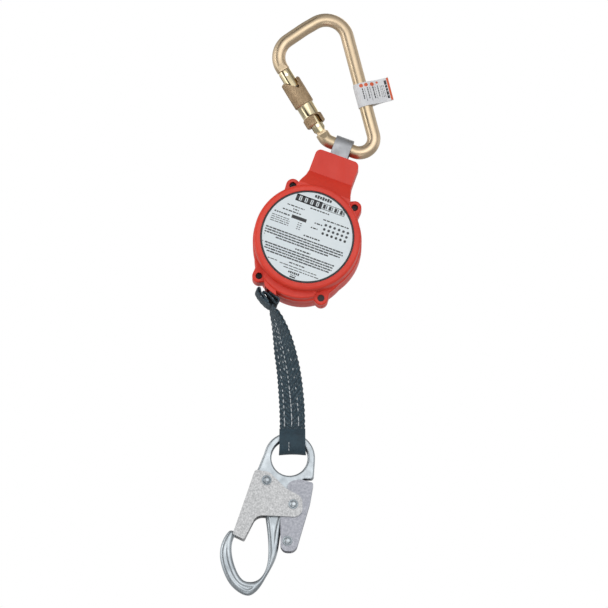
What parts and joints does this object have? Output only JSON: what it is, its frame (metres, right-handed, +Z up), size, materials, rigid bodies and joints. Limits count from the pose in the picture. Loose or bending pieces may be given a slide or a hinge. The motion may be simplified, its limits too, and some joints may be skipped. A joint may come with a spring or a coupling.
{
  "type": "self retracting lifeline",
  "caption": "Fall limiter: webbing on a sprung drum in a plastic housing, hung by a strap from an auto-lock carabiner, with a locking snap hook on its end",
  "frame": {"origin": "inner top of the carabiner's bow, where the anchor bears", "axes": "+Z up along the hanging object, +X to the right seen from the label side, -Y towards the label side"},
  "size_m": [0.1747, 0.06, 0.5909],
  "materials": {
    "gold_steel": "forged steel, yellow chromate over zinc, satin",
    "zinc_steel": "forged and pressed steel, zinc plated",
    "spring_steel": "bare spring steel",
    "aluminium": "machined aluminium",
    "bronze": "sintered bronze and brake lining",
    "red_plastic": "moulded red plastic, fine grain",
    "dark_screws": "black oxide steel",
    "label_print": null,
    "black_plastic": "black acetal",
    "webbing": "woven polyester, dark slate with pale stitching",
    "wear_cloth": "tight smooth nylon sleeve",
    "tag_cloth": "white coated cloth with an orange end"
  },
  "bodies": {
    "carabiner": {"carabiner_body": "gold_steel", "carabiner_tag": "tag_cloth"},
    "carabiner_gate": {"carabiner_gate": "gold_steel", "gate_hinge_pin": "gold_steel", "gate_latch_pin": "gold_steel", "gate_plunger": "gold_steel", "gate_spring": "spring_steel", "sleeve_spring": "spring_steel"},
    "lock_sleeve": {"lock_sleeve": "gold_steel"},
    "drum": {"drum_core": "aluminium", "drum_front_flange": "aluminium", "drum_rear_flange": "aluminium", "drum_bushings": "bronze", "webbing_coil": "webbing", "webbing_anchor_pin": "zinc_steel", "spring_cup": "zinc_steel", "pawl_pins": "zinc_steel"},
    "pawl_1": {"pawl_1": "zinc_steel"},
    "pawl_2": {"pawl_2": "zinc_steel"},
    "lifeline": {"stop_fold": "webbing", "lifeline_webbing": "webbing"},
    "webbing_end": {"webbing_loop": "webbing", "wear_sleeve": "wear_cloth"},
    "hook": {"hook_body": "zinc_steel", "gate_rivet": "zinc_steel", "lever_rivet": "zinc_steel", "hook_gate_spring": "spring_steel"},
    "hook_gate": {"hook_gate": "zinc_steel", "gate_studs": "zinc_steel"},
    "lock_lever": {"lock_lever": "zinc_steel"},
    "housing": {"axle": "zinc_steel", "axle_nuts": "zinc_steel", "brake_disc": "bronze", "cover_screws": "dark_screws", "disc_spring": "spring_steel", "front_cover": "red_plastic", "label_plate": "label_print", "load_strap": "zinc_steel", "pressure_plate": "zinc_steel", "ratchet_ring": "zinc_steel", "rear_cover": "red_plastic", "recoil_spring": "spring_steel", "screw_plug": "black_plastic", "spring_arbor": "zinc_steel", "webbing_guide": "black_plastic", "webbing_lead": "webbing"}
  },
  "joints": [
    {"name": "carabiner_gate_hinge", "type": "hinge", "parent": "carabiner", "child": "carabiner_gate", "pos_m": [-0.01212, 0, -0.10235], "axis": [0, 1, 0], "range_deg": [0, 35], "stiffness_Nm_per_rad": 0.05, "springref_deg": -57.3},
    {"name": "sleeve_twist", "type": "hinge", "parent": "carabiner_gate", "child": "lock_sleeve", "pos_m": [-0.01212, 0, -0.10235], "axis": [-0.5155, 0, 0.8569], "range_deg": [0, 90], "stiffness_Nm_per_rad": 0.02, "springref_deg": -57.3},
    {"name": "housing_swing", "type": "hinge", "parent": "carabiner", "child": "housing", "pos_m": [0.01277, 0, -0.12323], "axis": [0.9225, 0, -0.3859], "range_deg": [-90, 90]},
    {"name": "lifeline_pull", "type": "slide", "parent": "housing", "child": "lifeline", "axis": [0.1488, 0, -0.9889], "range_m": [0, 3.18], "stiffness_N_per_m": 2, "springref_m": -5},
    {"name": "drum_spin", "type": "hinge", "parent": "housing", "child": "drum", "pos_m": [-0.0228, 0, -0.2199], "axis": [0, -1, 0], "range_deg": [0, 6480]},
    {"name": "pawl_1_pivot", "type": "hinge", "parent": "drum", "child": "pawl_1", "pos_m": [-0.01451, 0, -0.19738], "axis": [0, -1, 0], "range_deg": [0, 16], "stiffness_Nm_per_rad": 0.002, "springref_deg": -28.65},
    {"name": "pawl_2_pivot", "type": "hinge", "parent": "drum", "child": "pawl_2", "pos_m": [-0.03109, 0, -0.24242], "axis": [0, -1, 0], "range_deg": [0, 16], "stiffness_Nm_per_rad": 0.002, "springref_deg": -28.65},
    {"name": "webbing_bend", "type": "hinge", "parent": "lifeline", "child": "webbing_end", "pos_m": [-0.0376, 0, -0.3964], "axis": [1, 0, 0], "range_deg": [-60, 60]},
    {"name": "hook_swing", "type": "hinge", "parent": "webbing_end", "child": "hook", "pos_m": [-0.0405, 0, -0.4392], "axis": [0, 1, 0], "range_deg": [-25, 25]},
    {"name": "hook_gate_hinge", "type": "hinge", "parent": "hook", "child": "hook_gate", "pos_m": [-0.0632, 0, -0.4626], "axis": [0, -1, 0], "range_deg": [0, 25], "stiffness_Nm_per_rad": 0.05, "springref_deg": -57.3},
    {"name": "lock_lever_press", "type": "hinge", "parent": "hook", "child": "lock_lever", "pos_m": [-0.0425, 0, -0.5235], "axis": [0, -1, 0], "range_deg": [0, 3.5], "stiffness_Nm_per_rad": 0.1, "springref_deg": -28.65}
  ],
  "couplings": [
    {"joint": "drum_spin", "follows": "lifeline_pull", "rad_per_m": 35.398}
  ]
}
